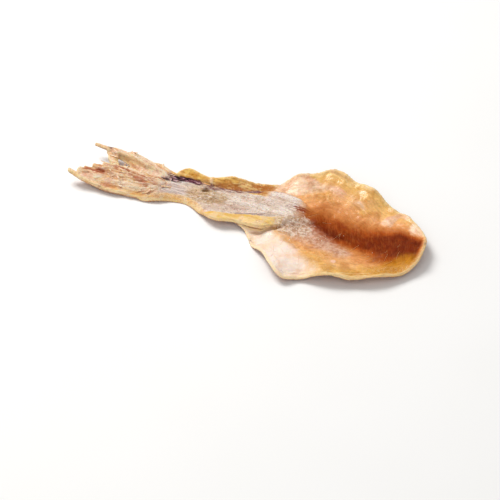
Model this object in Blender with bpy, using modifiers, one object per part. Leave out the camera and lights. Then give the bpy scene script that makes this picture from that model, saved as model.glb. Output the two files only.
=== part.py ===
"""A whole dried cuttlefish: the mantle cut open along the belly and dried flat, its far collar that
runs on beside the head, the band of head and neck that lies over the mantle, eight arms dried
together into a pleated fan, two long tentacles and a loose strip of skin that hangs between them.

Each layer is built as it lay on the drying rack. One Boolean union makes it a single body, which is
then warped as drying warps it and set down on its lowest spots.
"""
import math

import bmesh
import bpy
import numpy as np
from mathutils import Vector, noise

MM = 0.001

# Driving dimensions: thicknesses of the layers, how much an arm narrows at its very tip, and how
# far drying lifts the rims
MANTLE_THICKNESS = 2.9 * MM
MANTLE_RIM = 1.7 * MM
BAND_THICKNESS = 4.0 * MM
BAND_RIM = 1.8 * MM
COLLAR_THICKNESS = 2.4 * MM
COLLAR_RIM = 1.5 * MM
ARM_THICKNESS = 4.2 * MM
TIP_ROUNDING = 0.4
NEAR_RIM_LIFT = 5.2 * MM
FAR_RIM_LIFT = 11.0 * MM
TAIL_LIFT = 5.5 * MM
CORNER_DIP = 4.4 * MM

# How finely each piece is divided
MANTLE_CELLS = 31
BAND_CELLS = (53, 12)
COLLAR_CELLS = (26, 7)
LIMB_SIDES = 8
LIMB_STEPS = 12
LUMP_SEGMENTS = 12
LUMP_RINGS = 7

FLESH = (0.62, 0.36, 0.17, 1.0)

# The mantle's rim seen from above, in millimetres, round from the tail by the far side
MANTLE_CENTRE = (50, 0)
MANTLE_RIM_POINTS = [
    (116.5, -2), (114, 10), (105, 21), (92, 30), (75, 38), (57, 44.5), (41, 48.5), (31, 44),
    (19, 36), (6, 28), (-6, 22), (-13, 12), (-13, 0), (-8, -9), (0, -13), (7, -17),
    (15.5, -28), (25, -35.5), (34, -46), (43.5, -52.5), (54, -47), (71.5, -43.5),
    (89.5, -38), (100.5, -31.5), (110, -22.5), (115.5, -11.5),
]

# Stations along the band of web, head and neck, in millimetres:
# distance along the body, near edge, far edge, height of near edge, of middle and of far edge
BAND = [
    (-107, -7.5, -1.5, 4.4, 4.0, 4.4),
    (-100, -9.5, 2, 2.8, 2.8, 3.4),
    (-93, -10.5, 6, 1.6, 2.2, 2.8),
    (-86, -9.5, 9.5, 1.2, 2.0, 2.0),
    (-79, -8, 12.5, 1.6, 2.0, 1.8),
    (-73, -7.5, 14.5, 2.8, 2.2, 1.4),
    (-66, -10.6, 15.5, 1.0, 2.6, 2.0),
    (-57, -9, 15.5, 2.6, 3.0, 2.8),
    (-49, -5, 15.5, 1.0, 2.8, 3.2),
    (-40, -3.6, 15, 0.8, 2.6, 3.2),
    (-33, -5.8, 14, 2.2, 2.4, 2.8),
    (-25, -11.6, 13.5, 3.6, 2.3, 2.4),
    (-18, -16.4, 14, 4.8, 2.2, 2.2),
    (-11, -17.4, 15, 4.6, 2.1, 2.0),
    (-3, -14.4, 18, 4.6, 2.0, 2.2),
    (4, -14.6, 20.5, 5.0, 2.0, 2.4),
    (10, -16, 22, 5.0, 1.9, 2.2),
    (16, -15, 22.5, 4.6, 1.8, 2.0),
    (22, -9.5, 22, 3.2, 1.7, 1.8),
    (29, -4, 20, 1.5, 1.4, 1.5),
    (37, 0, 16.5, 0.9, 1.0, 1.0),
    (45, 3.5, 12, 0.3, 0.4, 0.3),
    (53, 6, 8, -0.9, -0.9, -0.9),
]

# The same for the collar, whose far edge stands up behind the head
COLLAR = [
    (-56, 9, 13, 1.8, 3.4, 6.4),
    (-51, 7, 17, 1.6, 4.6, 10.4),
    (-45, 6, 18.5, 1.4, 5.4, 13.8),
    (-38, 6, 18.5, 1.4, 5.2, 12.6),
    (-31, 6, 18, 1.4, 4.6, 10.8),
    (-24, 6, 19, 1.4, 4.6, 11.2),
    (-17, 6, 22, 1.2, 3.8, 10.2),
    (-10, 6, 23.8, 1.0, 2.8, 8.2),
    (0, 7, 26, 0.8, 1.8, 4.8),
    (9, 9, 29, 0.6, 1.1, 2.2),
    (18, 12, 31, 0.5, 0.6, 0.7),
]

# Arms, tentacles and the loose strip, in millimetres: root, middle, tip, half width at the root and
# at the tip, roll towards the tip in degrees
LIMBS = {
    "arm_1": ((-56, -3, 3.2), (-90, -11.5, 0), (-116, -8.0, 10.8), 5.2, 2.8, 40),
    "arm_2": ((-56, -1, 4.4), (-88, -7, 4.0), (-111, -4.5, 10.2), 5.0, 2.8, -30),
    "arm_3": ((-56, 1, 4.4), (-86, -3, 5.6), (-109, -0.5, 9.2), 4.8, 2.6, 25),
    "arm_4": ((-56, 4, 4.8), (-83, 1, 5.0), (-104, 2.8, 9.6), 4.8, 2.6, 35),
    "arm_5": ((-55, 7, 4.4), (-79, 5, 4.4), (-99, 5.8, 8.6), 4.8, 2.6, -35),
    "arm_6": ((-54, 9, 4.8), (-75, 9.5, 4.8), (-93, 8.8, 8.4), 4.4, 2.6, 25),
    "arm_7": ((-50, 12, 5.4), (-74, 20, 6.2), (-101, 21.5, 7.8), 5.4, 3.2, -35),
    "arm_8": ((-52, 12, 3.8), (-68, 15.5, 3.0), (-87, 12.5, 4.8), 4.2, 2.4, 30),
    "tentacle_far": ((-52, 14, 6.2), (-80, 21.5, 8.2), (-112, 22.5, 10.2), 3.4, 2.2, 50),
    "tentacle_near": ((-58, 3, 6.4), (-84, 0, 8.4), (-104, 2, 10.4), 2.6, 1.6, -35),
    "hanging_strip": ((-100.5, 22, 8.0), (-96, 16, 8.6), (-90.5, 7, 4.6), 3.2, 2.8, 30),
}

# Swellings: centre and half sizes in millimetres, and how far each is turned, in radians
LUMPS = {
    "eye": ((-45, 11.6, 6.8), (9.5, 3.0, 2.2), 0.1),
    "mouth": ((-63, 3, 6.2), (8, 6.0, 2.8), 0.0),
    "funnel": ((-27, 4, 6.2), (9, 4.8, 2.2), -0.1),
    "nape": ((-4, 2, 5.6), (15, 5.0, 1.7), 0.06),
}


def clear_scene():
    """Removes what the file holds, so that only the cuttlefish is left at the end."""
    for obj in list(bpy.data.objects):
        bpy.data.objects.remove(obj)


def smoothstep(low, high, value):
    """0 up to low, 1 from high on, and a smooth ramp between them."""
    t = min(max((value - low) / (high - low), 0.0), 1.0)
    return t * t * (3 - 2 * t)


def curve_point(a, b, c, d, t):
    """A place between b and c on the Catmull-Rom curve through four knots."""
    bend = 2 * a - 5 * b + 4 * c - d
    return 0.5 * (2 * b + (c - a) * t + bend * t * t + (3 * b - a - 3 * c + d) * t ** 3)


def flesh_material():
    """Amber, waxy, slightly glossy dried flesh."""
    material = bpy.data.materials.new("dried_flesh")
    material.use_nodes = True
    shader = material.node_tree.nodes["Principled BSDF"]
    shader.inputs["Base Color"].default_value = FLESH
    shader.inputs["Roughness"].default_value = 0.5
    shader.inputs["Metallic"].default_value = 0.0
    return material


def add_mesh_object(name, bm, collection):
    """Puts a bmesh into a new object in the collection."""
    mesh = bpy.data.meshes.new(name)
    bm.to_mesh(mesh)
    bm.free()
    obj = bpy.data.objects.new(name, mesh)
    collection.objects.link(obj)
    return obj


def thicken(obj, edge_shares, thickness, rim_thickness):
    """Solidifies a sheet upwards, full in its middle and thinner where the edge share is high."""
    group = obj.vertex_groups.new(name="thickness")
    for index, share in enumerate(edge_shares):
        group.add([index], 1 - smoothstep(0.7, 1.0, share), "REPLACE")
    solidify = obj.modifiers.new("thickness", "SOLIDIFY")
    solidify.thickness = thickness
    solidify.offset = 1
    solidify.vertex_group = group.name
    solidify.thickness_vertex_group = rim_thickness / thickness


class Outline:
    """A closed smooth curve round a centre, seen from above: its radius in each direction."""

    SAMPLES = 24

    def __init__(self, centre, points):
        self.centre = np.array(centre) * MM
        knots = np.array(points) * MM
        count = len(knots)
        dense = []
        for i in range(count):
            a, b, c, d = (knots[(i + k) % count] for k in (-1, 0, 1, 2))
            dense += [curve_point(a, b, c, d, s / self.SAMPLES) for s in range(self.SAMPLES)]
        away = np.array(dense) - self.centre
        angles = np.arctan2(away[:, 1], away[:, 0])
        order = np.argsort(angles)
        self.angles = angles[order]
        self.radii = np.hypot(away[order, 0], away[order, 1])

    def place(self, p, q):
        """Where the corner (p, q) of a square from -1 to 1 lands, how near the rim it is and in
        which direction it lies."""
        x, y = p * math.sqrt(1 - q * q / 2), q * math.sqrt(1 - p * p / 2)
        share, angle = math.hypot(x, y), math.atan2(y, x)
        reach = share * float(np.interp(angle, self.angles, self.radii, period=2 * math.pi))
        x = self.centre[0] + reach * math.cos(angle)
        y = self.centre[1] + reach * math.sin(angle)
        return x, y, share, angle


def add_mantle(collection):
    """The opened mantle: a shield with a blunt tail and two flared front corners."""
    outline = Outline(MANTLE_CENTRE, MANTLE_RIM_POINTS)
    bm = bmesh.new()
    bmesh.ops.create_grid(bm, x_segments=MANTLE_CELLS, y_segments=MANTLE_CELLS, size=1.0)
    shares = []
    for vert in bm.verts:
        x, y, share, angle = outline.place(vert.co.x, vert.co.y)
        waves = 1.9 * math.sin(6 * angle + 0.8) + 1.1 * math.sin(11 * angle + 2.1)
        lumps = noise.noise(Vector((x, y, 0)) * 38) * 1.1
        vert.co = (x, y, (waves * smoothstep(0.6, 1.0, share) + lumps) * MM)
        shares.append(share)
    bmesh.ops.triangulate(bm, faces=bm.faces)
    mantle = add_mesh_object("mantle", bm, collection)
    thicken(mantle, shares, MANTLE_THICKNESS, MANTLE_RIM)
    return mantle


def at_station(stations, x):
    """The numbers of a band at a distance along it, on smooth curves through its stations."""
    last = len(stations) - 1
    i = min(max(int(np.searchsorted(stations[:, 0], x)) - 1, 0), last - 1)
    t = (x - stations[i, 0]) / (stations[i + 1, 0] - stations[i, 0])
    knots = [stations[min(max(i + k, 0), last), 1:] for k in (-1, 0, 1, 2)]
    return curve_point(*knots, t)


def add_band(name, station_rows, cells, relief, thickness, rim_thickness, collection):
    """A sheet that runs along the body between its near and far edges: a grid laid through the
    stations, with the relief(x, y) of its surface, then thickened."""
    stations = np.array(station_rows, dtype=float)
    start, end = stations[0, 0], stations[-1, 0]
    bm = bmesh.new()
    bmesh.ops.create_grid(bm, x_segments=cells[0], y_segments=cells[1], size=1.0)
    shares = []
    for vert in bm.verts:
        along, across = vert.co.x, vert.co.y
        x = start + (end - start) * (along + 1) / 2
        near, far, low, middle, high = at_station(stations, x)
        y = near + (far - near) * (across + 1) / 2
        z = middle + (low - middle) * max(-across, 0) ** 2 + (high - middle) * max(across, 0) ** 2
        vert.co = (x * MM, y * MM, (z + relief(x, y)) * MM)
        shares.append(max(abs(across), abs(along) ** 12))
    bmesh.ops.triangulate(bm, faces=bm.faces)
    band = add_mesh_object(name, bm, collection)
    thicken(band, shares, thickness, rim_thickness)


def band_relief(x, y):
    """Strands that run along the band, and the lumps of what has dried inside it."""
    strands = 0.35 * math.sin(y / 1.5 + 1.6 * math.sin(x / 21))
    return strands + 0.9 * noise.noise(Vector((x, y, 4)) * 0.07)


def collar_relief(x, y):
    """The uneven edge of the collar."""
    return 0.8 * noise.noise(Vector((x, y, 9)) * 0.09)


def add_limb(name, root, middle, tip, root_width, tip_width, roll, collection):
    """A flat tapering strip, gutter-shaped in section as an arm dries: a cylinder divided into
    rings, with each ring set across a curve from root to tip."""
    root, middle, tip = (Vector(p) * MM for p in (root, middle, tip))
    bm = bmesh.new()
    bmesh.ops.create_cone(
        bm, cap_ends=True, cap_tris=True, segments=LIMB_SIDES, radius1=1, radius2=1, depth=1
    )
    long_edges = [e for e in bm.edges if abs(e.verts[0].co.z - e.verts[1].co.z) > 0.5]
    bmesh.ops.subdivide_edges(bm, edges=long_edges, cuts=LIMB_STEPS - 1)
    for vert in bm.verts:
        t = vert.co.z + 0.5
        spot = root * (1 - t) ** 2 + middle * 2 * t * (1 - t) + tip * t ** 2
        heading = (middle - root) * (1 - t) + (tip - middle) * t
        across = Vector((-heading.y, heading.x, 0)).normalized()
        half_width = (root_width + (tip_width - root_width) * t ** 2) * MM
        half_width *= 1 + 0.12 * math.sin(17 * t + 40 * root.y / MM)
        half_width *= 1 - TIP_ROUNDING * t ** 24
        half_height = ARM_THICKNESS / 2 * (1 - 0.4 * t * t)
        side = vert.co.x * half_width
        rise = vert.co.y * half_height + 0.2 * half_width * (vert.co.x ** 2 - 0.4)
        turned = math.radians(roll) * t
        sideways = side * math.cos(turned) - rise * math.sin(turned)
        upwards = side * math.sin(turned) + rise * math.cos(turned)
        vert.co = spot + across * sideways + Vector((0, 0, upwards))
    bmesh.ops.recalc_face_normals(bm, faces=bm.faces)
    add_mesh_object(name, bm, collection)


def add_lump(name, centre, half_sizes, turn, collection):
    """A flattened swelling, such as a dried eye: a sphere squeezed, wrinkled and turned."""
    bm = bmesh.new()
    bmesh.ops.create_uvsphere(
        bm, u_segments=LUMP_SEGMENTS, v_segments=LUMP_RINGS, radius=1
    )
    for vert in bm.verts:
        wrinkle = 1 + 0.15 * math.sin(7 * vert.co.y + 3 * vert.co.x)
        x, y = vert.co.x * half_sizes[0] * wrinkle, vert.co.y * half_sizes[1] * wrinkle
        vert.co = Vector((
            centre[0] + x * math.cos(turn) - y * math.sin(turn),
            centre[1] + x * math.sin(turn) + y * math.cos(turn),
            centre[2] + vert.co.z * half_sizes[2],
        )) * MM
    add_mesh_object(name, bm, collection)


def fuse(base, pieces):
    """Fuses the pieces with the base in one union, and clears them away."""
    union = base.modifiers.new("union", "BOOLEAN")
    union.operation = "UNION"
    union.operand_type = "COLLECTION"
    union.collection = pieces
    graph = bpy.context.evaluated_depsgraph_get()
    fused = bpy.data.meshes.new_from_object(base.evaluated_get(graph))
    base.modifiers.clear()
    base.vertex_groups.clear()
    base.data = fused
    for obj in list(pieces.objects):
        bpy.data.objects.remove(obj)
    bpy.data.collections.remove(pieces)


def islands(bm):
    """The separate closed surfaces of a mesh, the largest first."""
    left, found = set(bm.verts), []
    while left:
        seed = left.pop()
        island, to_visit = {seed}, [seed]
        while to_visit:
            vert = to_visit.pop()
            for edge in vert.link_edges:
                other = edge.other_vert(vert)
                if other not in island:
                    island.add(other)
                    to_visit.append(other)
        left -= island
        found.append(island)
    return sorted(found, key=len, reverse=True)


def keep_one_body(obj):
    """Fills the hollows that fusing sealed and drops loose scraps: only the outer surface stays."""
    bm = bmesh.new()
    bm.from_mesh(obj.data)
    bmesh.ops.remove_doubles(bm, verts=bm.verts, dist=0.02 * MM)
    for scrap in islands(bm)[1:]:
        bmesh.ops.delete(bm, geom=list(scrap), context="VERTS")
    bmesh.ops.triangulate(bm, faces=bm.faces)
    bm.to_mesh(obj.data)
    bm.free()


def drying_lift(x, y):
    """How far drying lifts each spot, in millimetres: the mantle dishes, its tail rises and its near
    corner droops, the head comes down in front of the mantle, and a slow wave runs through it all."""
    rim_lift = NEAR_RIM_LIFT if y < 0 else FAR_RIM_LIFT
    lift = rim_lift / MM * smoothstep(-15, 30, x) * (abs(y) / 44) ** 2
    lift += TAIL_LIFT / MM * smoothstep(78, 117, x)
    lift -= CORNER_DIP / MM * math.exp(-((x - 45) ** 2 + (y + 50) ** 2) / 11 ** 2)
    lift -= 2.0 * (1 - smoothstep(-34, -12, x))
    return lift + 0.5 * math.sin(x / 17 + y / 29)


def warp_and_set_down(obj):
    """Warps the body, presses its lowest spots flat on the ground, and centres it over the origin."""
    points = np.array([v.co for v in obj.data.vertices])
    points[:, 2] += [drying_lift(x / MM, y / MM) * MM for x, y, z in points]
    ground = np.percentile(points[:, 2], 4)
    points[:, 2] = np.maximum(points[:, 2] - ground, 0)
    middle = (points.min(axis=0) + points.max(axis=0)) / 2
    points[:, :2] -= middle[:2]
    obj.data.vertices.foreach_set("co", points.astype(np.float32).ravel())
    obj.data.update()


def build():
    clear_scene()
    cuttlefish = bpy.data.collections.new("dried_cuttlefish")
    bpy.context.scene.collection.children.link(cuttlefish)
    pieces = bpy.data.collections.new("flesh_pieces")
    bpy.context.scene.collection.children.link(pieces)

    body = add_mantle(cuttlefish)
    add_band("band", BAND, BAND_CELLS, band_relief, BAND_THICKNESS, BAND_RIM, pieces)
    add_band("collar", COLLAR, COLLAR_CELLS, collar_relief, COLLAR_THICKNESS, COLLAR_RIM, pieces)
    for name, numbers in LIMBS.items():
        add_limb(name, *numbers, pieces)
    for name, numbers in LUMPS.items():
        add_lump(name, *numbers, pieces)

    fuse(body, pieces)
    body.name = "dried_cuttlefish"
    keep_one_body(body)
    warp_and_set_down(body)
    body.data.materials.clear()
    body.data.materials.append(flesh_material())
    body.data.shade_smooth()


build()
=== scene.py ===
"""Looks of a whole dried cuttlefish: translucent amber flesh with a golden rim, a pale waxy corner,
a dusty bloom in the middle of the mantle, a fibrous grey neck, a dark eye and pleated arms.

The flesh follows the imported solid. Its surface is divided finely, then wrinkled, ridged and pitted
as dried flesh is, and each zone of the body is marked on it for the material to colour. Grains,
fibres and shreds of skin then lie loose on it.
"""
import itertools
import math
import random

import bpy
import numpy as np
from mathutils import Matrix, Vector
from mathutils.bvhtree import BVHTree
from mathutils.kdtree import KDTree


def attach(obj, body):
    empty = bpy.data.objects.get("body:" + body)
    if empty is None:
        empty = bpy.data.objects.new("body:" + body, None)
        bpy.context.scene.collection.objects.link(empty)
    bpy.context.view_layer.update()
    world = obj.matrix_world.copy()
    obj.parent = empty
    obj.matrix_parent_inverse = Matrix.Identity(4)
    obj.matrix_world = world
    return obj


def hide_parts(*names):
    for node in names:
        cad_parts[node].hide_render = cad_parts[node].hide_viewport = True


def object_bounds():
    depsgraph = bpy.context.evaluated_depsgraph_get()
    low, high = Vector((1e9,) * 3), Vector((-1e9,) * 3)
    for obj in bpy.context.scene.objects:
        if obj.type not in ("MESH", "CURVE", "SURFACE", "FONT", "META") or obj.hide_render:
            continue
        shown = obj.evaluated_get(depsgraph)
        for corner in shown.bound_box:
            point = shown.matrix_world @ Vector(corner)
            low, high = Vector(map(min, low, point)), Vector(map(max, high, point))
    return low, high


MM = 0.001
NODE = "dried_cuttlefish"

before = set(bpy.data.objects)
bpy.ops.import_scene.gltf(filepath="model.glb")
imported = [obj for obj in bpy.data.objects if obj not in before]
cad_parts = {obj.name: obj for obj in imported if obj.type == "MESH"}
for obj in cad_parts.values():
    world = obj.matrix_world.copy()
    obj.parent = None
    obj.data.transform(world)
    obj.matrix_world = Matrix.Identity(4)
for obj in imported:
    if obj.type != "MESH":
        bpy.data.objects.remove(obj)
solid_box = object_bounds()

# Places on the body are given in millimetres from the neck's middle, with the tail tip at 116.5 and
# the far corner of the mantle at 48.5
TAIL_TIP = 116.5
FAR_CORNER = 48.5
SHIFT = np.array([TAIL_TIP - solid_box[1][0] / MM, FAR_CORNER - solid_box[1][1] / MM, 0.0])

# How finely the flesh is divided, and how it is evened out before it is wrinkled
MERGE_DISTANCE = 0.001 * MM
VOXEL = 0.58 * MM
EVENING_ROUNDS = 3
EVENING_STRENGTH = 0.5

# Edges of the band of head and neck: distance along the body, near and far edge
BAND_X = (-107, -100, -93, -86, -79, -73, -66, -57, -49, -40, -33, -25, -18, -11, -3, 4, 10, 16, 22,
          29, 37, 45, 53)
BAND_NEAR = (-13, -14, -14, -13, -12, -11, -10.6, -9, -5, -3.6, -5.8, -11.6, -16.4, -17.4, -14.4,
             -14.6, -16, -15, -9.5, -4, 0, 3.5, 6)
BAND_FAR = (26, 26, 25, 24, 22, 20, 17, 15.5, 15.5, 15, 14, 13.5, 14, 15, 18, 20.5, 22, 22.5, 22,
            20, 16.5, 12, 8)

# Where the yellow fold meets the grey neck: distance along the body, and across it
SEAM_X = (-27, -15, -2, 19, 28)
SEAM_Y = (-13, -11.5, -8, -2, 2)

# How far from the mantle's rim its darkest colour lies at distances along the body, and by how much that
# shrinks from the near half to the far half. The dark is partly the thick flesh's own deep amber and
# partly painted shade, which reaches nearest the rim on the far half and at the tail tip
DEEPEST_X = (20, 66, 82, 96, 104, 112)
DEEPEST = (62, 54, 35, 19, 13, 5)
HALVES = (-12, 3)
FAR_SHARE = 0.76

# How steep a face may be to count as part of the body's edge, and which edges aren't the mantle's
# rim: those this near the band, up to its end, and those before the mantle
EDGE_STEEPNESS = 0.3
BAND_MARGIN = 2.5
BAND_TIP = 58
RIM_START = -14

# Where zones begin along the body, each from where nothing of it shows to where all of it does
BAND_START = (44, 20)
ARMS_START = (-48, -66)
ARM_FIBRES_START = (-52, -60)
NECK_CREASES_START = (-66, -50)
COLLAR_FOOT_START = (-42, -30)
GILT_START = (-28, -38)
MANTLE_START = (-16, -8)
HEAD_FIBRES_START = (6, -4)
PALE_START = (-12, -6)
TAIL_START = (72, 100)
ARM_SIDE_START = (-14, -30)

# Stretches that both begin and end, by four numbers: where nothing shows, where all does, where it
# starts to fade and where nothing shows again. The tail's is measured inwards from the mantle's rim
COLLAR = (-60, -54, 4, 16)
COLLAR_TOP = (-60, -54, 4, 14)
FAR_EDGE = (-58, -50, 4, 14)
FOLD = (-27, -20, 24, 27)
LIP = (-14, -6, 24, 29)
UNDER_LIP = (6, 14, 22, 30)
ROLL = (36, 52, 90, 104)
INK = (-62, -54, 0, 14)
TAIL_DEPTH = (0.6, 2, 8, 17)

# Borders of zones across the body or upwards, from where nothing shows to where all does
BAND_BORDER = (-0.8, 1.4)
COLLAR_BORDER = (-1.0, 0.8)
COLLAR_TOP_BORDER = (12.4, 13.8)
COLLAR_TOP_HEIGHT = (5.6, 6.8)
COLLAR_FOOT_HEIGHT = (10.5, 5.5)
FOLD_BORDER = (0.7, -0.9)
TAIL_BORDER = (-3, -14)
ROLL_BORDER = (4, -18)
FAR_PALE_BORDER = (6, 18)
EYE_BORDER = (14.6, 12.8)
INK_HEIGHT = (8.0, 6.3)
ARM_SIDE_DEPTH = (6, 1.5)

# Distances from the mantle's rim or the body's edge, in the same way
RIMWARD = (18, 5)
ROLL_DEPTH = (7, 3)
FAR_PALE_DEPTH = (22, 8)
RUFFLE_DEPTH = (6, 0.5)
LIP_DEPTH = (2.2, 0.5)

# Crests, a furrow and a shade along edges: how far inwards from the edge, and how wide
RIM_CREST = (1.2, 1.0)
NEAR_LIP_CREST = (1.2, 1.1)
NEAR_LIP_FURROW = (-1.2, 1.0)
FAR_EDGE_CREST = (1.8, 1.0)
UNDER_LIP_SHADE = (-0.9, 0.9)

# Lines on the flesh, each between two places, with their widths: the waxy corner widens along the
# body, and the bloom and the eye narrow
PALE_LINE = ((12, -19), (44, -47))
PALE_WIDTH = 8
PALE_WIDENING = 0.18
PALE_WIDENS = (0, 60)
BLOOM_LINE = ((31, -3), (70, -17))
BLOOM_WIDTH = 15
BLOOM_NARROWING = 0.1
EYE_LINE = ((-52, 11.4), (-36, 13.2))
EYE_WIDTH = 2.4
EYE_NARROWING = 0.05
EYE_WIDTHS = (1, 3)
EYE_TIP_LINE = ((-60, 10.3), (-53, 11.2))
EYE_TIP_WIDTH = 1.7
EYE_TIP_STRENGTH = 0.62
GREY_LINE = ((-3, -7.6), (19, -0.6))
GREY_LINE_WIDTH = 1.0

# The dark purple line by the collar, partly the flesh's own purple and partly painted shade in the
# crease between collar and neck: how far inside the far edge it runs at distances along the body, and
# its width
INK_X = (-40, -30, -18)
INK_INSET = (1.6, 0.4, 1.4)
INK_WIDTH = 1.9

# Spots on the upper side that fade as a bell does: the middle, the reach along and across the body,
# and the width
FADING_SPOTS = {
    "wax_drop": ((68, -28), (1, 1), 1.9),
    "pit": ((-30, 8), (1.3, 1), 1.9),
    "slit": ((31, 10.5), (9, 3.2), 1),
    "bruise": ((-101, 22), (1, 1), 2.2),
}

# Spots with a soft border: the middle, the reach along and across, and the shares of that reach from
# where nothing of the spot shows to where all of it does
SOFT_SPOTS = {
    "head": ((-50, 2), (12, 7), (1.3, 0.3)),
    "olive": ((-26, 3), (19, 9), (1.2, 0.3)),
}
GRAINY_SPOT = ((33, -3), (14, 11))
GRAINY_BORDER = (1.25, 0.4)
REDDISH_SPOTS = [
    ((-101, -1.5), (9, 3.4)),
    ((-87, 6), (7, 3)),
    ((-74, 4.5), (10, 2.6)),
    ((-67, 1), (7, 2)),
]
PIT_RING = ((-30, 8), (1, 1))
PIT_RING_REACH = 3.0
PIT_RING_WIDTH = 1.2

# The strand that runs up the collar's wall: its place, its lean and its width
STRAND_X = -29
STRAND_MIDDLE_HEIGHT = 8
STRAND_LEAN = 0.4
STRAND_WIDTH = 1.3

# The arms fan out from this place, and their pleats are as wide as they are at this distance
FAN_CENTRE = (-34, 3)
FAN_RADIUS = 52

# How the fibres of the mantle slant, and how far they waver as they follow its rim
MANTLE_SLANT = 0.7
MANTLE_WAVER = 3.5

# How far the fine lines across the mantle are turned from straight across it, in degrees
HATCH_TURN = 22

# Lengths of the waves in the flesh, in millimetres: along the fibres or the body, across them, and
# upwards, or one number for all ways
SWELLING = 9
CURL = 3
PLEATS = (18, 3.0, 5)
STRANDS = (8, 1.4, 4)
BROAD_WAVES = (30, 8)
CREASES = (3.0, 2.2, 3)
DIMPLES = (9, 6)
PIMPLES = 1.2
RIM_WAVES = 7
RUFFLES = 6
PALE_PATCHES = 16
FIBRE_WAVER = 11
ROLL_PITCH = 2.2

# How far the waves push the fibres aside
WANDER_REACH = 1.5
CURL_REACH = 0.7

# How far each form stands out of the flesh or sinks into it, in millimetres
SWELLING_HEIGHT = 0.5
FIBRE_HEIGHT = 0.8
RIM_PLEAT_HEIGHT = 0.03
RIM_STRAND_HEIGHT = 0.02
RIM_FIBRE_SINK = 0.025
DIMPLE_HEIGHT = 0.4
MANTLE_CREASE_HEIGHT = 0.12
BROAD_WAVE_HEIGHT = 0.2
WAX_DROP_HEIGHT = 0.5
COLLAR_STRAND_HEIGHT = 0.4
CREASE_HEIGHT = 0.45
COLLAR_PLEAT_HEIGHT = 0.35
GRAIN_HEIGHT = 0.30
PIMPLE_HEIGHT = 0.12
ROLL_HEIGHT = 0.30
RIM_HEIGHT = 0.6
NEAR_LIP_HEIGHT = 0.9
NEAR_LIP_DEPTH = 0.5
FAR_EDGE_HEIGHT = 0.5
PIT_DEPTH = 1.8
SLIT_DEPTH = 0.9
INK_DEPTH = 0.5
GREY_LINE_DEPTH = 0.3
PIT_RING_HEIGHT = 0.4
RUFFLE_HEIGHT = 0.9

# Seeds of the waves and of the places of the loose pieces
SWELL_SEED = 3
STRAND_SEED = 11
FINE_SEED = 23
PATCH_SEED = 41
GRAIN_SEED = 5
FIBRE_SEED = 8
SHRED_SEED = 21
GRAIN_SHAPE_SEED = 3
SHRED_SHAPE_SEED = 6

# Loose grains: how many, their radii in millimetres, their breadths and heights as shares of them,
# how uneven they are, how deep they sit, and where they lie (centre and spread)
GRAIN_COUNT = 320
GRAIN_RADII = (0.16, 0.5)
GRAIN_BREADTHS = (0.6, 1.0)
GRAIN_FLATNESS = (0.4, 0.8)
GRAIN_ROUGHNESS = 0.22
GRAIN_SINK = 0.1 * MM
GRAIN_PATCHES = [(32, -3, 5, 4), (32, -3, 5, 4), (28, -1, 8, 4), (44, -8, 12, 4), (-20, 4, 22, 5)]

# Loose shreds: how many, the field they lie in, their lengths in millimetres, their breadths and
# curls as shares of them, how their headings scatter, and how deep they sit
SHRED_COUNT = 70
SHRED_FIELD_X = (-108, -52)
SHRED_FIELD_Y = (-12, 24)
SHRED_LENGTHS = (2.2, 6.5)
SHRED_BREADTHS = (0.12, 0.3)
SHRED_CURLS = (0.3, 0.8)
SHRED_SCATTER = 0.25
SHRED_SINK = 0.15 * MM

# One shred, as shares of its length: how it narrows, curls up and cups, and how thick it is
SHRED_NARROWING = 0.75
SHRED_RISE = 0.16
SHRED_CUP = 0.5
SHRED_THICKNESS = 0.06
SHRED_ROUGHNESS = 0.03

# Loose fibres: their radius, the step between their points in millimetres and how far they lie above
# the flesh; how their headings scatter, in degrees, and how they bend and wobble at each step
FIBRE_RADIUS = 0.07 * MM
FIBRE_STEP = 1.1
FIBRE_LIFT = 0.08 * MM
FIBRE_SCATTER = 14
FIBRE_BEND = 0.03
FIBRE_WOBBLE = 0.05

# Their lengths as shares of their tuft's, how much they thin towards the end, the fewest points that
# make one, and the tufts (centre, heading in degrees, length, how many, spread)
FIBRE_LENGTHS = (0.6, 1.2)
FIBRE_THINNING = 0.6
FEWEST_POINTS = 3
FIBRE_TUFTS = [
    (62, 1, 250, 11, 2, 0.6),
    (33, 0, 20, 9, 16, 5),
    (44, -6, -20, 9, 5, 5),
    (80, -12, 250, 10, 8, 6),
    (95, -14, 250, 8, 6, 5),
    (-12, 5, 5, 9, 14, 8),
    (-28, 14, 80, 6, 5, 1.2),
    (-8, 15, 110, 5, 4, 3),
    (-25, 3, -35, 9, 9, 4),
    (-20, 0, 55, 8, 9, 4),
    (-75, 2, 175, 10, 14, 9),
    (30, -28, 300, 12, 6, 6),
]

# The camera: where the photograph's viewer stood, in degrees, what the middle of the picture shows,
# how much of the ground the picture spans there, its lens, and from how many metres on it sees
VIEW_AZIMUTH = 22
VIEW_ELEVATION = 39
VIEW_CENTRE = (15.4, -30.1, 0.0)
VIEW_SPAN = 302.5 * MM
LENS = 160
SENSOR = 36
NEAREST_SEEN = 0.01

# The light: the room's strength, and each lamp's name, place, size, power and colour
ROOM_STRENGTH = 0.42
LAMPS = [
    ("window", (-0.62, 0.3, 1.0), 0.6, 11.5, (1.0, 0.995, 0.98)),
    ("fill", (0.2, -0.9, 0.9), 0.9, 3.0, (1.0, 1.0, 1.0)),
]
FLOOR_SIZE = 6

# Noise in the flesh's material that is drawn out: waves per metre along, across and upwards, then
# the detail, roughness and distortion of the noise
STREAK_NOISE = ((70.0, 1100.0, 200.0), 6.0, 0.65, 0.0)
BROAD_STREAK_NOISE = ((28.0, 260.0, 90.0), 5.0, 0.6, 0.0)
CURL_NOISE = ((190.0, 620.0, 200.0), 4.0, 0.6, 1.6)
SCRATCH_NOISE = ((1500.0, 150.0, 200.0), 5.0, 0.65, 0.0)
LASH_NOISE = ((150.0, 800.0, 800.0), 3.0, 0.6, 0.0)
WALL_NOISE = ((80.0, 300.0, 650.0), 5.0, 0.65, 0.0)

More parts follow.
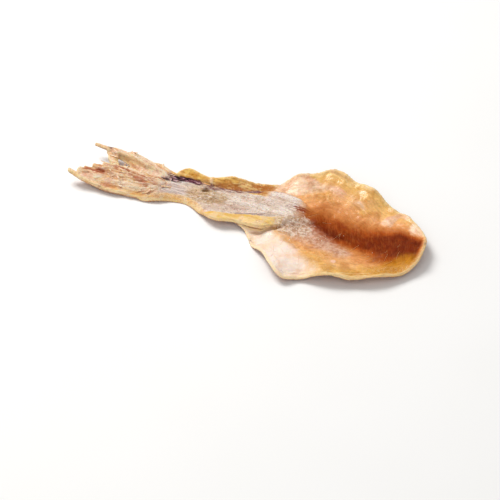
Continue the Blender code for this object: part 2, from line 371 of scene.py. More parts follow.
# Noise that is even in all directions: waves per metre, then the same
CLOUD_NOISE = (26.0, 4.0, 0.55, 0.3)
GOLD_NOISE = (48.0, 3.0, 0.5, 0.0)
BLOTCH_NOISE = (75.0, 6.0, 0.65, 0.5)
MOTTLE_NOISE = (110.0, 3.0, 0.45, 0.8)
CRINKLE_NOISE = (230.0, 3.0, 0.5, 1.4)
FLECK_NOISE = (420.0, 5.0, 0.65, 0.0)
SPECKLE_NOISE = (1100.0, 3.0, 0.6, 0.0)


def deselect():
    """Leaves nothing selected, so that the next operator acts on its own piece alone."""
    bpy.ops.object.select_all(action="DESELECT")


def select(obj):
    """Makes obj the one active and selected object."""
    deselect()
    bpy.context.view_layer.objects.active = obj
    obj.select_set(True)


def apply_modifier(obj, kind, **settings):
    """Adds a modifier with these settings to obj and applies it at once."""
    select(obj)
    modifier = obj.modifiers.new(kind.lower(), kind)
    for name, value in settings.items():
        setattr(modifier, name, value)
    bpy.ops.object.modifier_apply(modifier=modifier.name)


def smooth(low, high, values):
    """0 up to low, 1 from high on, and a smooth ramp between them, for an array of values."""
    t = np.clip((values - low) / (high - low), 0, 1)
    return t * t * (3 - 2 * t)


def between(stretch, values):
    """0 outside a stretch, 1 inside it, and smooth ramps where it begins and where it ends."""
    begins, is_full, fades, ends = stretch
    return smooth(begins, is_full, values) * smooth(ends, fades, values)


def hump(values, middle, width):
    """1 at the middle, falling away on both sides as a bell does."""
    return np.exp(-(((values - middle) / width) ** 2))


def near_line(x, y, line):
    """Distance of each point from the line between two places."""
    start, end = np.array(line, float)
    run = end - start
    along = ((x - start[0]) * run[0] + (y - start[1]) * run[1]) / run.dot(run)
    along = np.clip(along, 0, 1)
    return np.hypot(x - start[0] - along * run[0], y - start[1] - along * run[1])


def near_spot(x, y, middle, reach):
    """Distance of each point from a spot's middle, as a share of the spot's reach."""
    return np.hypot((x - middle[0]) / reach[0], (y - middle[1]) / reach[1])


def level(values, height):
    """An array as long as the values with the same height all through, for waves that lie flat."""
    return np.full(len(values), float(height))


class Unevenness:
    """Smooth random waves in space, the same on each run: a lattice of heights, blended between."""

    SIDE = 32

    def __init__(self, seed):
        self.lattice = np.random.default_rng(seed).uniform(-1, 1, (self.SIDE,) * 3)

    def at(self, x, y, z):
        """Heights from -1 to 1, with waves about one unit long."""
        places = np.stack([x, y, z], axis=1)
        base = np.floor(places).astype(int)
        part = places - base
        part = part * part * (3 - 2 * part)
        total = np.zeros(len(places))
        for corner in itertools.product((0, 1), repeat=3):
            weight = np.prod(np.where(corner, part, 1 - part), axis=1)
            i, j, k = ((base + corner) % self.SIDE).T
            total += weight * self.lattice[i, j, k]
        return total

    def layered(self, x, y, z, layers=3):
        """The same with finer and weaker waves laid on it."""
        total = np.zeros(len(x))
        for layer in range(layers):
            pitch = 2 ** layer
            total += self.at(x * pitch + 7 * layer, y * pitch, z * pitch) / pitch
        return total / (2 - 2 ** (1 - layers))

    def ridged(self, x, y, z, layers=2):
        """Sharp crests with broad hollows between them, from 0 to 1."""
        total = np.zeros(len(x))
        for layer in range(layers):
            pitch = 2 ** layer
            wave = 1 - np.abs(self.at(x * pitch + 3 * layer, y * pitch, z * pitch)) * 1.6
            total += np.clip(wave, 0, 1) / pitch
        return total / (2 - 2 ** (1 - layers))


def read_vertices(mesh):
    """Places and normals of a mesh's vertices as arrays."""
    count = len(mesh.vertices)
    places, normals = np.empty(count * 3), np.empty(count * 3)
    mesh.vertices.foreach_get("co", places)
    mesh.vertex_normals.foreach_get("vector", normals)
    return places.reshape(-1, 3), normals.reshape(-1, 3)


def write_vertices(mesh, places):
    """Moves a mesh's vertices to these places."""
    mesh.vertices.foreach_set("co", places.astype(np.float32).ravel())
    mesh.update()


def mark(mesh, name, values):
    """Stores a number for each vertex under a name, for the material."""
    attribute = mesh.attributes.new(name, "FLOAT", "POINT")
    attribute.data.foreach_set("value", values.astype(np.float32))


def mark_vector(mesh, name, columns):
    """Stores three numbers in millimetres for each vertex under a name, as metres."""
    rows = np.stack([column * MM for column in columns], axis=1)
    attribute = mesh.attributes.new(name, "FLOAT_VECTOR", "POINT")
    attribute.data.foreach_set("vector", rows.astype(np.float32).ravel())


def divided_flesh():
    """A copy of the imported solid, merged, divided into small even faces and evened out."""
    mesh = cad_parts[NODE].data.copy()
    mesh.materials.clear()
    flesh = bpy.data.objects.new("dried_flesh", mesh)
    bpy.context.scene.collection.objects.link(flesh)
    select(flesh)
    bpy.ops.object.mode_set(mode="EDIT")
    bpy.ops.mesh.select_all(action="SELECT")
    bpy.ops.mesh.remove_doubles(threshold=MERGE_DISTANCE)
    bpy.ops.object.mode_set(mode="OBJECT")
    apply_modifier(flesh, "REMESH", mode="VOXEL", voxel_size=VOXEL)
    apply_modifier(flesh, "SMOOTH", factor=EVENING_STRENGTH, iterations=EVENING_ROUNDS)
    return flesh


def distance_from(places, spots):
    """Distance of each place from the nearest of the spots, in millimetres."""
    tree = KDTree(len(spots))
    for index, spot in enumerate(spots):
        tree.insert(spot, index)
    tree.balance()
    return np.array([tree.find(place)[2] for place in places]) / MM


class Zones:
    """Where each part of the body lies: a number from 0 to 1 for each vertex and zone."""

    # The zones that the material colours
    MARKED = (
        "top", "band", "arms", "collar", "fold", "pale", "dusty", "grainy", "tail", "near_side",
        "reddish", "eye", "ink", "pit", "slit", "far_pale", "olive", "under_lip", "head", "bruise",
        "wax_drop", "foot", "collar_end", "grey_line", "strand",
    )

    def __init__(self, places, normals):
        self.x, self.y, self.z = (places / MM + SHIFT).T
        self.near_edge = np.interp(self.x, BAND_X, BAND_NEAR)
        self.far_edge = np.interp(self.x, BAND_X, BAND_FAR)
        self.top = smooth(-0.5, 0.1, normals[:, 2])
        self.measure_edges(places, normals)
        self.find_parts()
        self.find_collar_parts()
        self.find_mantle_zones()
        self.find_head_zones()

    def measure_edges(self, places, normals):
        """Distances from the body's edge and from the mantle's rim, in millimetres."""
        upright = np.abs(normals[:, 2]) < EDGE_STEEPNESS
        on_band = (self.x < BAND_TIP) & (self.y > self.near_edge - BAND_MARGIN)
        on_band &= self.y < self.far_edge + BAND_MARGIN
        self.edge = distance_from(places, places[upright])
        self.rim = distance_from(places, places[upright & ~on_band & (self.x > RIM_START)])

    def find_parts(self):
        """The band of head and neck, the arms, the collar, the mantle and the fold."""
        x, y, z = self.x, self.y, self.z
        stands = smooth(*COLLAR_TOP_BORDER, y) * smooth(*COLLAR_TOP_HEIGHT, z)
        stands *= between(COLLAR_TOP, x)
        inside = smooth(*BAND_BORDER, y - self.near_edge) * smooth(*BAND_BORDER, self.far_edge - y)
        inside *= 1 - stands
        beyond = smooth(*COLLAR_BORDER, y - self.far_edge) * between(COLLAR, x)
        seam = np.interp(x, SEAM_X, SEAM_Y)
        self.band = inside * smooth(*BAND_START, x)
        self.arms = smooth(*ARMS_START, x)
        self.collar = np.maximum(beyond, stands)
        self.mantle = smooth(*MANTLE_START, x) * (1 - self.band)
        self.fold = smooth(*FOLD_BORDER, y - seam) * between(FOLD, x) * inside
        self.near_side = smooth(*ARM_SIDE_DEPTH, y - self.near_edge) * smooth(*ARM_SIDE_START, x)

    def find_collar_parts(self):
        """The collar's lower part, darkened with painted shade where it meets the neck, its golden far
        end and the strand that runs up its wall.
        """
        x, z = self.x, self.z
        lean = STRAND_LEAN * (z - STRAND_MIDDLE_HEIGHT)
        # Painted shade, darker towards the collar's base
        self.foot = smooth(*COLLAR_FOOT_HEIGHT, z) * self.collar * smooth(*COLLAR_FOOT_START, x)
        self.collar_end = smooth(*GILT_START, x) * self.collar
        self.strand = hump(x - STRAND_X + lean, 0, STRAND_WIDTH) * self.collar

    def find_mantle_zones(self):
        """The mantle's waxy corner, bloom, grains, tail, pale far side and what lies by its rim."""
        x, y, z = self.x, self.y, self.z
        # Painted shade just outside the neck's near edge, under the fold's lip
        self.under_lip = hump(y - self.near_edge, *UNDER_LIP_SHADE) * between(UNDER_LIP, x)
        corner = near_line(x, y, PALE_LINE)
        corner /= PALE_WIDTH + PALE_WIDENING * np.clip(x, *PALE_WIDENS)
        self.pale = smooth(1.6, 0.3, corner) * smooth(*PALE_START, x) * (1 - self.band)
        bloom = near_line(x, y, BLOOM_LINE) / (BLOOM_WIDTH - BLOOM_NARROWING * x)
        self.dusty = smooth(1.5, 0.0, bloom) * (1 - self.band)
        self.grainy = smooth(*GRAINY_BORDER, near_spot(x, y, *GRAINY_SPOT))
        self.rimward = smooth(*RIMWARD, self.rim)
        self.tail = smooth(*TAIL_START, x) * between(TAIL_DEPTH, self.rim) * smooth(*TAIL_BORDER, y)
        patches = Unevenness(PATCH_SEED).layered(x / PALE_PATCHES, y / PALE_PATCHES, level(z, 0))
        self.far_pale = smooth(0.0, 0.5, patches + 0.3) * smooth(*FAR_PALE_DEPTH, self.rim)
        self.far_pale *= smooth(*FAR_PALE_BORDER, y)

    def find_head_zones(self):
        """The marks on the upper side of arms, head and neck."""
        x, y, top = self.x, self.y, self.top
        for name, (middle, reach, width) in FADING_SPOTS.items():
            setattr(self, name, hump(near_spot(x, y, middle, reach), 0, width) * top)
        for name, (middle, reach, border) in SOFT_SPOTS.items():
            setattr(self, name, smooth(*border, near_spot(x, y, middle, reach)) * top)
        self.reddish = sum(hump(near_spot(x, y, *spot), 0, 1) for spot in REDDISH_SPOTS)
        eye_width = EYE_WIDTH - EYE_NARROWING * (x - EYE_LINE[0][0])
        eye = near_line(x, y, EYE_LINE) / np.clip(eye_width, *EYE_WIDTHS)
        eye_tip = near_line(x, y, EYE_TIP_LINE) / EYE_TIP_WIDTH
        self.eye = smooth(1.5, 0.5, eye) * top * smooth(*EYE_BORDER, y)
        self.eye = np.maximum(self.eye, EYE_TIP_STRENGTH * smooth(1.6, 0.4, eye_tip) * top)
        # The dark purple line by the collar: partly the flesh's own purple, partly painted shade in the
        # crease
        ink_middle = self.far_edge - np.interp(x, INK_X, INK_INSET)
        self.ink = hump(y, ink_middle, INK_WIDTH) * between(INK, x)
        self.ink *= smooth(*INK_HEIGHT, self.z) * top
        self.grey_line = hump(near_line(x, y, GREY_LINE), 0, GREY_LINE_WIDTH) * top


class Waves:
    """The waves of every size in the flesh at each vertex, and how its fibres run. Where waves come
    from the same lattice, a step to the side or another level keeps them apart."""

    def __init__(self, zones):
        x, y, z = zones.x, zones.y, zones.z
        swell, strand, fine = Unevenness(SWELL_SEED), Unevenness(STRAND_SEED), Unevenness(FINE_SEED)
        self.swelling = swell.layered(x / SWELLING, y / SWELLING, z / SWELLING)
        self.wander = self.swelling * WANDER_REACH
        self.curl = swell.layered(x / CURL + 5, y / CURL, z / CURL, 2) * CURL_REACH
        self.waver = swell.layered(x / FIBRE_WAVER + 3, y / FIBRE_WAVER, level(z, 0), 3)
        self.rim_waves = swell.at(x / RIM_WAVES, y / RIM_WAVES, level(z, 9))
        self.ruffles = swell.layered(x / RUFFLES, y / RUFFLES, level(z, 5), 3)
        self.run_fibres(zones)
        aside = self.across + self.wander
        self.pleats = strand.ridged(self.along / PLEATS[0], aside / PLEATS[1], z / PLEATS[2])
        aside = self.across + self.wander + self.curl
        self.strands = fine.ridged(self.along / STRANDS[0], aside / STRANDS[1], z / STRANDS[2])
        aside = self.across + 2 * self.wander
        self.broad = strand.ridged(self.along / BROAD_WAVES[0], aside / BROAD_WAVES[1], level(z, 3), 1)
        self.creases = fine.ridged(
            x / CREASES[0] + self.wander, y / CREASES[1] + self.curl, z / CREASES[2])
        self.dimples = strand.ridged(
            x / DIMPLES[0] + 0.6 * self.wander, y / DIMPLES[1] + 0.6 * self.curl, level(z, 7))
        self.pimples = fine.layered(x / PIMPLES, y / PIMPLES, z / PIMPLES, 2)

    def run_fibres(self, zones):
        """Along and across the fibres, in millimetres: they run lengthwise in the neck, fan out into
        the arms from the head and follow the rim in the mantle."""
        x, y = zones.x, zones.y
        fan_x, fan_y = FAN_CENTRE
        arm_along = -np.hypot(x - fan_x, y - fan_y)
        arm_across = np.arctan2(y - fan_y, -(x - fan_x)) * FAN_RADIUS
        mantle_along = x + MANTLE_SLANT * y
        mantle_across = zones.rim + MANTLE_WAVER * self.waver
        elsewhere = zones.band + zones.arms + smooth(*HEAD_FIBRES_START, x)
        on_mantle = 1 - smooth(-0.05, 0.3, elsewhere) > 0.5
        on_arms = smooth(*ARM_FIBRES_START, x) > 0.5
        self.along = np.where(on_mantle, mantle_along, np.where(on_arms, arm_along, x))
        self.across = np.where(on_mantle, mantle_across, np.where(on_arms, arm_across, y))


class Relief:
    """How far the flesh stands out at each vertex, in millimetres."""

    def __init__(self, zones, waves):
        self.zones = zones
        self.waves = waves
        self.fleshy = np.maximum(zones.band, zones.arms)
        self.fibres = FIBRE_HEIGHT * waves.pleats + FIBRE_HEIGHT * waves.strands - FIBRE_HEIGHT
        self.fibres *= 0.4 + 0.8 * zones.arms
        self.roll_rim()
        self.height = SWELLING_HEIGHT * waves.swelling * (0.5 + 0.5 * self.fleshy)
        self.height += self.fibres * self.fleshy * (1 - 0.6 * zones.fold)
        self.raise_mantle()
        self.raise_grain()
        self.raise_edges()
        self.sink_marks()
        self.height *= 0.45 + 0.55 * zones.top
        self.height *= smooth(0.0, 1.2, zones.edge) * 0.6 + 0.4

    def roll_rim(self):
        """Where the near rim is rolled in, and the wave of its rolls."""
        zones, waves = self.zones, self.waves
        self.rolled = smooth(*ROLL_DEPTH, zones.rim) * zones.mantle * zones.top
        self.rolled *= between(ROLL, zones.x) * smooth(*ROLL_BORDER, zones.y)
        rolling = zones.rim + 1.2 * waves.curl + 0.6 * waves.wander
        self.rolls = np.cos(rolling * 2 * np.pi / ROLL_PITCH)

    def raise_mantle(self):
        """Faint fibres by the rim, dimples and broad waves on the mantle."""
        zones, waves = self.zones, self.waves
        quiet = 1 - 0.6 * zones.pale
        by_rim = RIM_PLEAT_HEIGHT * waves.pleats + RIM_STRAND_HEIGHT * waves.strands - RIM_FIBRE_SINK
        dimpled = DIMPLE_HEIGHT * (waves.dimples - 0.5)
        dimpled += MANTLE_CREASE_HEIGHT * (waves.creases - 0.5)
        dimpled += SWELLING_HEIGHT * waves.swelling
        broad = BROAD_WAVE_HEIGHT * (waves.broad - 0.5)
        self.height += by_rim * zones.mantle * quiet * zones.rimward
        self.height += dimpled * zones.mantle
        self.height += broad * zones.rimward * zones.mantle * quiet

    def raise_grain(self):
        """The wax drop, the collar's strand and pleats, creases in the neck and fine pimples."""
        zones, waves = self.zones, self.waves
        creases = CREASE_HEIGHT * (waves.creases - 0.5)
        self.height += WAX_DROP_HEIGHT * zones.wax_drop + COLLAR_STRAND_HEIGHT * zones.strand
        self.height += (creases + COLLAR_PLEAT_HEIGHT * (waves.pleats - 0.5)) * zones.collar
        self.height += creases * zones.band * smooth(*NECK_CREASES_START, zones.x)
        self.height += GRAIN_HEIGHT * waves.pimples * zones.grainy
        self.height += PIMPLE_HEIGHT * waves.pimples * (0.4 + 0.6 * zones.dusty)

    def raise_edges(self):
        """The rolled near rim, the crest along the rim, the neck's near lip and its far edge."""
        zones, waves = self.zones, self.waves
        x, top = zones.x, zones.top
        inward = zones.y - zones.near_edge
        near_lip = NEAR_LIP_HEIGHT * hump(inward, *NEAR_LIP_CREST)
        near_lip -= NEAR_LIP_DEPTH * hump(inward, *NEAR_LIP_FURROW)
        rim_share = 0.6 + 0.8 * waves.rim_waves
        far_edge = FAR_EDGE_HEIGHT * hump(zones.far_edge - zones.y, *FAR_EDGE_CREST)
        self.height += ROLL_HEIGHT * self.rolls * self.rolled
        self.height += RIM_HEIGHT * hump(zones.rim, *RIM_CREST) * zones.mantle * top * rim_share
        self.height += near_lip * between(LIP, x) * top
        self.height += far_edge * between(FAR_EDGE, x)

    def sink_marks(self):
        """The pit and its raised ring, the torn slit, the dark purple line by the collar and the grey
        line.
        """
        zones = self.zones
        ring = hump(near_spot(zones.x, zones.y, *PIT_RING), PIT_RING_REACH, PIT_RING_WIDTH)
        self.height -= PIT_DEPTH * zones.pit + SLIT_DEPTH * zones.slit * self.waves.strands
        self.height -= INK_DEPTH * zones.ink + GREY_LINE_DEPTH * zones.grey_line
        self.height += PIT_RING_HEIGHT * ring * zones.top


def wrinkle(flesh):
    """Raises the fibres, folds and grains of dried flesh, and marks each zone for the material."""
    mesh = flesh.data
    places, normals = read_vertices(mesh)
    zones = Zones(places, normals)
    waves = Waves(zones)
    relief = Relief(zones, waves)
    places = places + normals * (relief.height * MM)[:, None]
    ruffle = waves.ruffles * smooth(*RUFFLE_DEPTH, zones.rim)
    lift = RUFFLE_HEIGHT * ruffle * smooth(0.8, 3.0, zones.z) * MM
    lowest, highest = solid_box[0][2], solid_box[1][2]
    places[:, 2] = np.clip(places[:, 2] + lift, lowest, highest)
    write_vertices(mesh, places)
    mark_zones(mesh, zones, relief)
    mark_runs(mesh, zones, waves)
    mesh.shade_smooth()


def mark_zones(mesh, zones, relief):
    """Marks on the flesh where each zone lies and where its forms stand out or sink."""
    for name in Zones.MARKED:
        mark(mesh, name, getattr(zones, name))
    # Dark inwards from the mantle's rim: partly the flesh's own deep amber, partly painted shade
    deepest = np.interp(zones.x, DEEPEST_X, DEEPEST) * np.interp(zones.y, HALVES, (1, FAR_SHARE))
    mark(mesh, "depth", np.clip(zones.rim / deepest, 0, 1))
    # The pale outer edge: partly the thin flesh's own paler colour, partly painted highlight
    mark(mesh, "lip", smooth(*LIP_DEPTH, zones.edge))
    mark(mesh, "rolled", relief.rolled * smooth(-0.2, 0.8, relief.rolls))
    # Painted shade for the grooves and painted highlight for the crests of the fibres
    mark(mesh, "groove", smooth(0.1, -0.6, relief.fibres) * (0.15 + 0.85 * relief.fleshy))
    mark(mesh, "crest", smooth(0.2, 0.7, relief.fibres) * relief.fleshy)


def mark_runs(mesh, zones, waves):
    """Marks on the flesh how its fibres run, and how the fine lines across the mantle do."""
    x, y, z = zones.x, zones.y, zones.z
    turn = math.radians(HATCH_TURN)
    turned_x = x * math.cos(turn) + y * math.sin(turn)
    turned_y = y * math.cos(turn) - x * math.sin(turn)
    mark_vector(mesh, "fibre_run", (waves.along, waves.across + waves.wander * 0.5, z))
    mark_vector(mesh, "hatch_run", (turned_x, turned_y, z))


def as_light(colour):
    """A colour's screen values from 0 to 255, as the renderer counts light. A wire or a colour that
    has its fourth number already is left as it is."""
    if isinstance(colour, Wire) or len(colour) == 4:
        return colour
    shares = [value / 255 for value in colour]
    return (*(s / 12.92 if s <= 0.04045 else ((s + 0.055) / 1.055) ** 2.4 for s in shares), 1.0)


class Wire:
    """An output of a material's node, on which plain arithmetic adds Math nodes."""

    def __init__(self, recipe, socket):
        self.recipe = recipe
        self.socket = socket

    def math(self, operation, first, second):
        """Adds a Math node that works on two numbers or wires."""
        return self.recipe.node("ShaderNodeMath", {"operation": operation}, {0: first, 1: second})

    def __add__(self, other):
        return self.math("ADD", self, other)

    def __radd__(self, other):
        return self.math("ADD", other, self)

    def __sub__(self, other):
        return self.math("SUBTRACT", self, other)

    def __rsub__(self, other):
        return self.math("SUBTRACT", other, self)

    def __mul__(self, other):
        return self.math("MULTIPLY", self, other)

    def __rmul__(self, other):
        return self.math("MULTIPLY", other, self)

    def __abs__(self):
        return self.math("ABSOLUTE", self, 0.0)


class Recipe:
    """A material and its nodes."""

    def __init__(self, name):
        self.material = bpy.data.materials.new(name)
        self.material.use_nodes = True
        self.tree = self.material.node_tree
        self.shader = self.tree.nodes["Principled BSDF"]

    def node(self, kind, settings, inputs, output=0):
        """Adds a node, gives its settings and then its inputs, and returns one of its outputs."""
        node = self.tree.nodes.new(kind)
        for name, value in settings.items():
            if name == "stops":
                self.set_stops(node.color_ramp, value)
            else:
                setattr(node, name, value)
        for key, value in inputs.items():
            self.feed(node.inputs[key], value)
        return Wire(self, node.outputs[output])

    def feed(self, socket, value):
        """Links a wire to a socket, or sets the socket to a plain value."""
        if isinstance(value, Wire):
            self.tree.links.new(value.socket, socket)
        else:
            socket.default_value = value

    def set_stops(self, ramp, stops):
        """Gives a scale of colours its places and colours."""
        while len(ramp.elements) < len(stops):
            ramp.elements.new(0.5)
        for element, (place, colour) in zip(ramp.elements, stops):
            element.position = place
            element.color = as_light(colour)

    def marked(self, name, output="Fac"):
        """A number marked on the mesh, or with output Vector three of them."""
        return self.node("ShaderNodeAttribute", {"attribute_name": name}, {}, output)

    def place(self):
        """The place on the piece, in metres."""
        return self.node("ShaderNodeTexCoord", {}, {}, "Object")

    def noise(self, vector, scale, detail, roughness, distortion=0.0):
        """Cloudy noise from 0 to 1, with scale waves per metre."""
        inputs = {
            "Vector": vector,
            "Scale": scale,
            "Detail": detail,
            "Roughness": roughness,
            "Distortion": distortion,
        }
        return self.node("ShaderNodeTexNoise", {}, inputs, "Fac")

    def drawn_noise(self, vector, scales, detail, roughness, distortion):
        """Noise drawn out or pressed together by its own scale along each axis."""
        settings, inputs = {"operation": "MULTIPLY"}, {0: vector, 1: scales}
        stretched = self.node("ShaderNodeVectorMath", settings, inputs)
        return self.noise(stretched, 1.0, detail, roughness, distortion)

    def ramp(self, value, low, high, start=0.0, end=1.0):
        """start up to low, end from high on, and a smooth ramp between them."""
        inputs = {"Value": value, "From Min": low, "From Max": high, "To Min": start, "To Max": end}
        return self.node("ShaderNodeMapRange", {"interpolation_type": "SMOOTHSTEP"}, inputs)

    def colours(self, value, stops):
        """A colour read from a scale of colours."""
        return self.node("ShaderNodeValToRGB", {"stops": stops}, {"Fac": value}, "Color")

    def mix(self, share, first, second, how="MIX"):
        """Blends the second colour over the first, each a wire or screen values from 0 to 255."""
        settings = {"data_type": "RGBA", "blend_type": how}
        inputs = {0: share, 6: as_light(first), 7: as_light(second)}
        return self.node("ShaderNodeMix", settings, inputs, 2)

    def mottled(self, pattern, low, high, first, second):
        """The first colour where a pattern is under low, blending to the second over high."""
        return self.mix(self.ramp(pattern, low, high), first, second)

    def lay(self, base, colour, pattern, low, high, share):
        """Lays a share of a colour over the base, growing as a pattern goes from low to high."""
        return self.mix(self.ramp(pattern, low, high) * share, base, colour)

    def shade(self, base, share, pattern, low, high, dark, light):
        """Darkens the base where a pattern is low and lightens it where the pattern is high."""
        lit = self.mottled(pattern, low, high, (*dark, 1.0), (*light, 1.0))
        return self.mix(share, base, lit, "MULTIPLY")

    def finish(self, inputs):
        """Sets the shader's own sockets."""
        for key, value in inputs.items():
            self.feed(self.shader.inputs[key], value)
        return self.material


class FleshRecipe(Recipe):
    """Dried flesh: amber and translucent, each zone with its own colour, streaked along its fibres."""

    def __init__(self):
        super().__init__("dried_flesh")
        here = self.place()
        run = self.marked("fibre_run", "Vector")
        self.streaks = self.drawn_noise(run, *STREAK_NOISE)
        self.broad_streaks = self.drawn_noise(run, *BROAD_STREAK_NOISE)
        self.curls = self.drawn_noise(run, *CURL_NOISE)
        self.scratches = self.drawn_noise(self.marked("hatch_run", "Vector"), *SCRATCH_NOISE)
        self.lashes = self.drawn_noise(here, *LASH_NOISE)
        self.walls = self.drawn_noise(here, *WALL_NOISE)
        self.clouds = self.noise(here, *CLOUD_NOISE)
        self.gold = self.noise(here, *GOLD_NOISE)
        self.blotches = self.noise(here, *BLOTCH_NOISE)
        self.mottling = self.noise(here, *MOTTLE_NOISE)
        self.flecks = self.noise(here, *FLECK_NOISE)
        self.speckle = self.noise(here, *SPECKLE_NOISE)
        self.crinkles = self.ramp(abs(self.noise(here, *CRINKLE_NOISE) - 0.5), 0.0, 0.13)
        self.hairlines = self.ramp(abs(self.curls - 0.5), 0.035, 0.005)
        self.long_hairs = self.ramp(abs(self.streaks - 0.5), 0.03, 0.004)
        torn = (self.blotches - 0.5) * 0.9 + (self.flecks - 0.5) * 0.5
        self.torn = torn + (self.broad_streaks - 0.5) * 0.7
        self.top, self.groove = self.marked("top"), self.marked("groove")
        # How far into the mantle's dark middle a place lies: dark flesh and painted shade together
        deepness_and_shade = self.marked("depth") + (self.clouds - 0.5) * 0.5
        self.deepness_and_shade = deepness_and_shade + (self.broad_streaks - 0.5) * 0.25

    def edged(self, name, spread=1.0, low=0.2, high=0.8):
        """A zone whose border is broken up by blotches, flecks and streaks."""
        return self.ramp(self.marked(name) + self.torn * spread, low, high)

    def amber(self):
        """The plain mantle: golden at its rim, deep red-brown inwards, partly the thick flesh's own
        colour and partly painted shade.
        """
        colour = self.colours(self.deepness_and_shade, [
            (0.00, (240, 206, 150)),
            (0.07, (230, 182, 108)),
            (0.22, (234, 180, 112)),
            (0.40, (232, 170, 110)),
            (0.54, (222, 152, 94)),
            (0.68, (196, 120, 60)),
            (0.84, (162, 72, 18)),
            (1.00, (116, 38, 3)),
        ])
        tail_gold, warm_gold = (200, 138, 26), (216, 162, 54)
        gold = self.ramp(self.gold, 0.48, 0.6) * self.ramp(self.deepness_and_shade, 0.6, 0.4)
        colour = self.mix(self.edged("tail", 0.7, 0.0, 1.0) * 0.75, colour, tail_gold)
        return self.mix(gold * 0.42, colour, warm_gold)

    def far_side(self, colour):
        """Rosy patches on the mantle's far side."""
        rosy = self.mottled(self.blotches, 0.4, 0.62, (246, 214, 186), (230, 176, 146))
        return self.mix(self.edged("far_pale", 0.9) * 0.85, colour, rosy)

    def texture(self, colour):
        """Streaks, mottling, flecks, hatching and pale hairs in the plain mantle."""
        colour = self.shade(colour, 0.25, self.streaks, 0.34, 0.66,
                            (0.60, 0.50, 0.42), (1.42, 1.40, 1.34))
        colour = self.shade(colour, 0.8, self.mottling, 0.34, 0.66,
                            (0.8, 0.7, 0.6), (1.16, 1.22, 1.28))
        colour = self.shade(colour, 0.35, self.flecks, 0.4, 0.6,
                            (0.9, 0.87, 0.84), (1.08, 1.1, 1.12))
        hatch = self.ramp(self.scratches, 0.48, 0.62) * self.ramp(self.deepness_and_shade, 0.4, 0.65)
        hatch = hatch * self.ramp(self.deepness_and_shade, 0.85, 1.1, 1.0, 0.3)
        colour = self.mix(hatch * 0.17, colour, (222, 140, 70))
        crinkled = self.mix(self.crinkles, (0.8, 0.72, 0.64, 1.0), (1.06, 1.08, 1.1, 1.0))
        colour = self.mix(0.3, colour, crinkled, "MULTIPLY")
        hairs = self.hairlines * self.ramp(self.clouds, 0.5, 0.6)
        hairs = hairs * self.ramp(self.deepness_and_shade, 0.75, 0.5)
        return self.mix(hairs * 0.4, colour, (252, 220, 166))

    def bloom(self, colour):
        """The dusty mauve bloom in the mantle's middle."""
        mauve = self.mottled(self.flecks, 0.38, 0.62, (190, 138, 112), (224, 186, 162))
        mauve = self.lay(mauve, (236, 208, 188), self.streaks, 0.5, 0.7, 0.5)
        mauve = self.lay(mauve, (160, 96, 66), self.deepness_and_shade, 0.6, 1.0, 0.6)
        return self.mix(self.edged("dusty", 1.3, 0.1, 1.1) * 0.85, colour, mauve)

    def waxy_corner(self, colour):
        """The pale waxy near corner, and the drop of wax by the rim."""
        wax = self.mottled(self.blotches, 0.34, 0.6, (244, 208, 180), (252, 232, 218))
        wax = self.lay(wax, (244, 190, 152), self.mottling, 0.56, 0.7, 0.3)
        wax = self.lay(wax, (246, 212, 164), self.clouds, 0.52, 0.64, 0.3)
        soft_edge = self.marked("pale") + (self.blotches - 0.5) * 0.6 + (self.mottling - 0.5) * 0.3
        colour = self.lay(colour, wax, soft_edge, 0.2, 0.75, 0.97)
        return self.mix(self.edged("wax_drop", 0.9, 0.2, 0.7) * 0.6, colour, (255, 216, 198))

    def collar(self):
        """The yellow collar that stands up behind the head, darker low down with painted shade, and gilt
        at its end.
        """
        collar = self.mottled(self.blotches, 0.4, 0.65, (236, 186, 98), (198, 128, 48))
        collar = self.lay(collar, (248, 216, 152), self.streaks, 0.5, 0.7, 0.4)
        # Painted shade on the collar's lower part
        collar = self.mix(self.edged("foot", 0.9) * 0.7, collar, (172, 98, 52))
        gilt = self.mottled(self.mottling, 0.4, 0.6, (252, 212, 122), (222, 158, 66))
        gilt = self.lay(gilt, (250, 226, 172), self.broad_streaks, 0.48, 0.62, 0.6)
        collar = self.mix(self.edged("collar_end", 0.8) * 0.85, collar, gilt)
        collar = self.lay(collar, (252, 222, 152), self.walls, 0.5, 0.62, 0.6)
        collar = self.lay(collar, (176, 100, 36), self.walls, 0.47, 0.36, 0.6)
        return self.mix(self.edged("strand", 0.5) * 0.7, collar, (250, 214, 176))

    def neck(self):
        """The grey, fibrous band of head and neck, olive and flecked behind the eye."""
        neck = self.mottled(self.broad_streaks, 0.36, 0.64, (218, 190, 170), (248, 234, 222))
        neck = self.lay(neck, (246, 232, 218), self.curls, 0.5, 0.7, 0.35)
        neck = self.lay(neck, (250, 238, 226), self.streaks, 0.55, 0.7, 0.3)
        neck = self.lay(neck, (220, 184, 138), self.clouds, 0.5, 0.62, 0.5)
        tangles = self.mottling + (self.curls - 0.5) * 0.6
        neck = self.lay(neck, (202, 170, 136), tangles, 0.5, 0.62, 0.4)
        olive = self.edged("olive", 1.2)
        neck = self.mix(olive * 0.45, neck, (206, 170, 118))
        neck = self.mix(olive * self.ramp(self.flecks, 0.36, 0.56) * 0.6, neck, (168, 130, 82))
        dark_hairs = self.hairlines * self.ramp(self.flecks, 0.38, 0.5)
        pale_hairs = self.long_hairs * self.ramp(self.blotches, 0.4, 0.6)
        neck = self.mix(dark_hairs * 0.75, neck, (136, 100, 82))
        neck = self.mix(pale_hairs * 0.8, neck, (255, 248, 240))
        pallor = self.mottled(self.streaks, 0.42, 0.58, (176, 152, 148), (236, 222, 214))
        return self.mix(self.edged("head", 0.8) * 0.8, neck, pallor)

    def fold(self):
        """The yellow fold on the neck's near side."""
        fold = self.mottled(self.broad_streaks, 0.4, 0.65, (238, 190, 88), (246, 212, 146))
        fold = self.lay(fold, (250, 222, 188), self.mottling, 0.5, 0.64, 0.45)
        return self.mix(self.long_hairs * 0.35, fold, (200, 134, 60))

